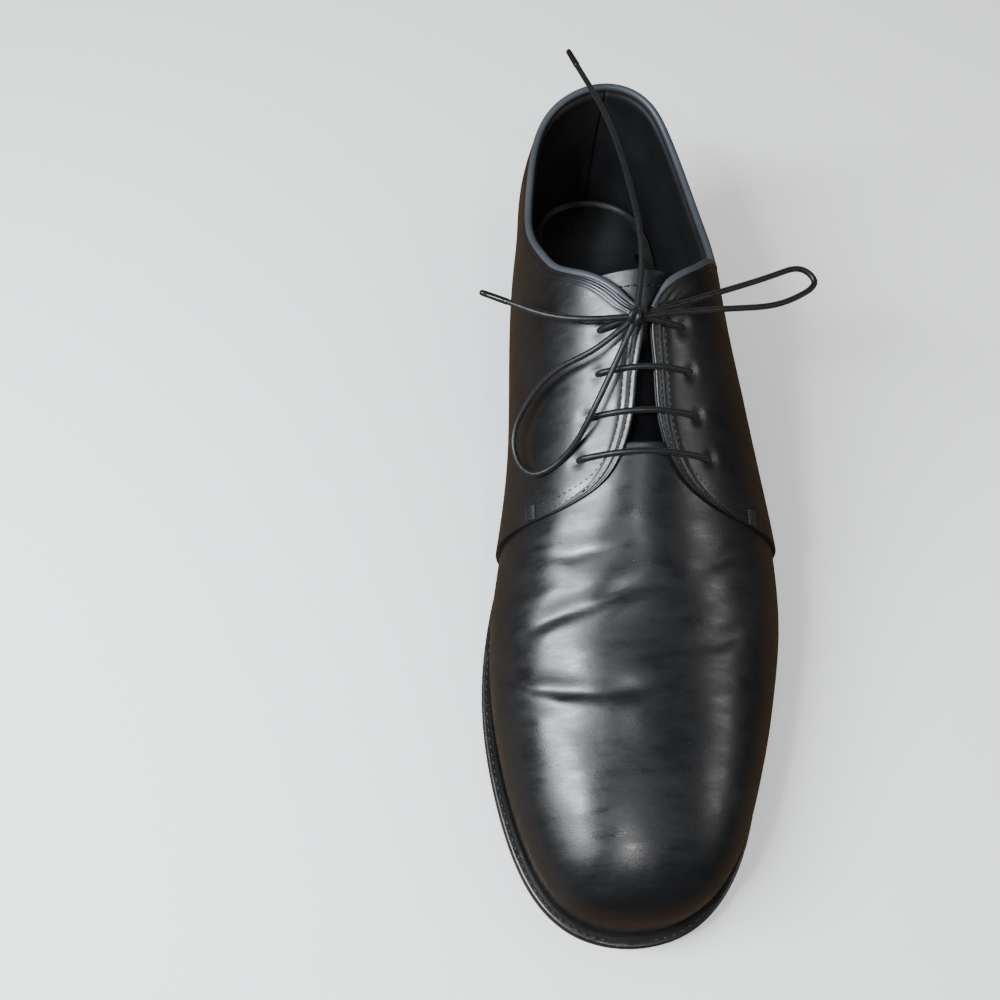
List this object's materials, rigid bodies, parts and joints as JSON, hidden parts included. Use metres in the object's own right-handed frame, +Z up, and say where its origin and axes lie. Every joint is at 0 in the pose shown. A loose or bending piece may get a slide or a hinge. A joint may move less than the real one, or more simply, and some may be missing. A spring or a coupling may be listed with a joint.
{
  "type": "leather shoe",
  "caption": "Men's black leather lace-up shoe for the left foot: plain-toe derby with leather sole, stacked heel, open lacing and a tied bow.",
  "frame": {"origin": "on the ground under the middle of the heel tread", "axes": "+Z up, toe towards -Y, +X towards the outer (lateral) side of this left shoe"},
  "size_m": [0.1151, 0.3173, 0.115],
  "materials": {
    "upper_leather": "polished smooth black calf leather with a soft sheen",
    "lining_leather": "matt black lining leather",
    "binding_leather": "thin folded black edge binding",
    "sole_leather": "dark stained leather sole with waxed edge",
    "welt_leather": "black waxed welt",
    "insole_leather": "natural insole leather",
    "sock_leather": "black sock leather, worn shiny at the heel",
    "heel_leather": "stacked leather, black waxed edge",
    "heel_rubber": "black rubber top piece",
    "cork": "ground cork filler",
    "stiffener": "thermoplastic stiffener sheet",
    "shank_steel": "tempered spring steel",
    "nail_steel": "bright steel nails",
    "eyelet_brass": "small brass eyelets hidden on the lining side",
    "thread": "waxed black thread",
    "lace_cord": "thin round waxed cotton cord, twisted",
    "aglet_plastic": "clear-black lace tip"
  },
  "bodies": {
    "rear_shoe": {"outsole_rear": "sole_leather", "welt_rear": "welt_leather", "insole_rear": "insole_leather", "cork_filler_rear": "cork", "shank": "shank_steel", "heel_lift_lower": "heel_leather", "heel_lift_middle": "heel_leather", "heel_lift_upper": "heel_leather", "heel_top_piece": "heel_rubber", "heel_nails": "nail_steel", "sock_liner_rear": "sock_leather", "vamp_rear": "upper_leather", "heel_counter": "stiffener", "vamp_lining_rear": "lining_leather", "quarter_lateral": "upper_leather", "quarter_medial": "upper_leather", "back_strip": "upper_leather", "quarter_lining_lateral": "lining_leather", "quarter_lining_medial": "lining_leather", "topline_binding": "binding_leather", "blind_eyelets_lateral": "eyelet_brass", "blind_eyelets_medial": "eyelet_brass", "corner_tack_lateral": "thread", "corner_tack_medial": "thread", "lace_through_eyelets": "lace_cord"},
    "forepart": {"outsole_forepart": "sole_leather", "welt_forepart": "welt_leather", "insole_forepart": "insole_leather", "cork_filler_forepart": "cork", "sock_liner_forepart": "sock_leather", "vamp_forepart": "upper_leather", "vamp_lining_forepart": "lining_leather", "toe_puff": "stiffener"},
    "tongue_flap": {"tongue": "upper_leather", "tongue_lining": "lining_leather"},
    "loop_lateral": {"bow_loop_lateral": "lace_cord"},
    "loop_medial": {"bow_loop_medial": "lace_cord"},
    "end_medial": {"lace_end_medial": "lace_cord", "aglet_medial": "aglet_plastic"},
    "end_rear": {"lace_end_rear": "lace_cord", "aglet_rear": "aglet_plastic"}
  },
  "joints": [
    {"name": "ball_flex", "type": "hinge", "parent": "rear_shoe", "child": "forepart", "pos_m": [0, -0.158, 0.0046], "axis": [-1, 0, 0], "range_deg": [0, 30]},
    {"name": "tongue_tilt", "type": "hinge", "parent": "rear_shoe", "child": "tongue_flap", "pos_m": [0.0015, -0.1255, 0.074], "axis": [-1, 0, 0], "range_deg": [0, 20]},
    {"name": "loop_lateral_lift", "type": "hinge", "parent": "rear_shoe", "child": "loop_lateral", "pos_m": [-0.003, -0.089, 0.1078], "axis": [0.2501, -0.9682, 0], "range_deg": [0, 40]},
    {"name": "loop_medial_lift", "type": "hinge", "parent": "rear_shoe", "child": "loop_medial", "pos_m": [-0.003, -0.089, 0.1078], "axis": [-0.6429, 0.7659, 0], "range_deg": [0, 40]},
    {"name": "end_medial_lift", "type": "hinge", "parent": "rear_shoe", "child": "end_medial", "pos_m": [-0.003, -0.089, 0.1078], "axis": [0.3249, 0.9457, 0], "range_deg": [0, 45]},
    {"name": "end_rear_lift", "type": "hinge", "parent": "rear_shoe", "child": "end_rear", "pos_m": [-0.003, -0.089, 0.1078], "axis": [0.9996, 0.03, 0], "range_deg": [0, 45]}
  ]
}
